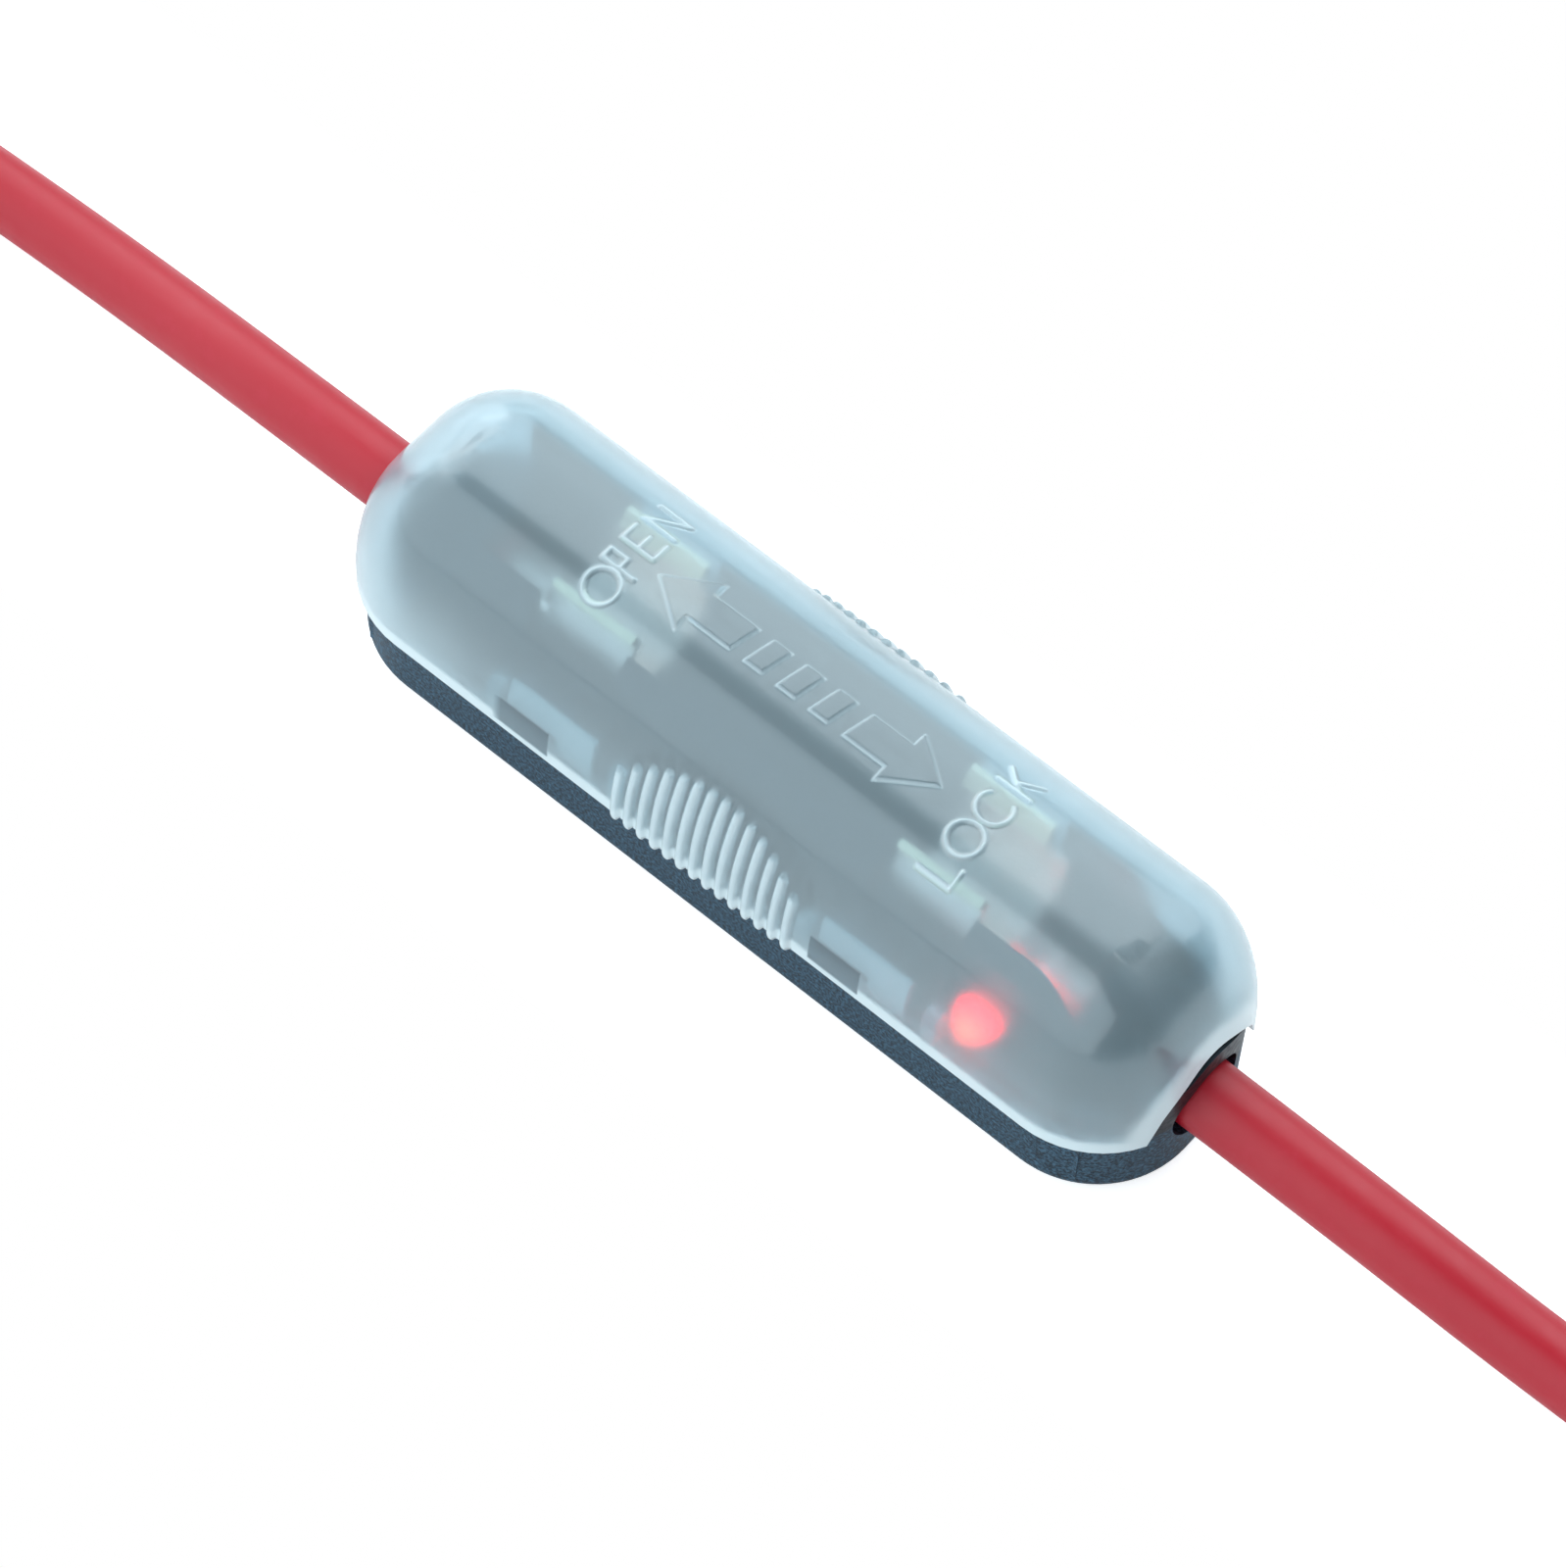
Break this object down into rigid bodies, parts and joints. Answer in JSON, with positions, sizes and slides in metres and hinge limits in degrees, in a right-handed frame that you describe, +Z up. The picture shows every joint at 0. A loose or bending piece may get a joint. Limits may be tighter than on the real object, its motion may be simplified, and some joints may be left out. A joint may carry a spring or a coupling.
{
  "type": "inline fuse holder",
  "caption": "Inline fuse holder: black tray and carrier with spring clips and a blown-fuse lamp, frosted see-through sliding cover, and a red lead at each end.",
  "frame": {"origin": "middle of the underside that the body rests on", "axes": "+X along the body towards the LOCK end, +Y away from the lamp's side, +Z up to the cover's crown"},
  "size_m": [0.2592, 0.0178, 0.0176],
  "materials": {
    "black_plastic": "fine spark-eroded texture",
    "black_plastic_inner": "satin",
    "frosted_cover": "frosted, see-through",
    "plated_brass": "tin plated",
    "red_pvc": "smooth",
    "copper": "bright copper",
    "lamp_red": "clear, glowing",
    "wire": "tinned",
    "resistor": "lacquered",
    "sleeve": "satin",
    "solder": "bright",
    "screw": "zinc plated"
  },
  "bodies": {
    "holder": {"base_shell": "black_plastic", "fuse_carrier": "black_plastic_inner", "contact_clip_left": "plated_brass", "contact_clip_right": "plated_brass", "lead_left_insulation": "red_pvc", "lead_right_insulation": "red_pvc", "lead_left_conductor": "copper", "lead_right_conductor": "copper", "led_lamp": "lamp_red", "led_lead_anode": "wire", "led_lead_cathode": "wire", "resistor_body": "resistor", "resistor_wire_left": "wire", "resistor_wire_right": "wire", "insulating_sleeve": "sleeve", "solder_joint_left": "solder", "solder_joint_right": "solder", "solder_joint_splice": "solder", "assembly_screw_left": "screw", "assembly_screw_right": "screw"},
    "cover": {"cover": "frosted_cover"}
  },
  "joints": [
    {"name": "cover_slide", "type": "slide", "parent": "holder", "child": "cover", "axis": [1, 0, 0], "range_m": [-0.004, 0]}
  ]
}
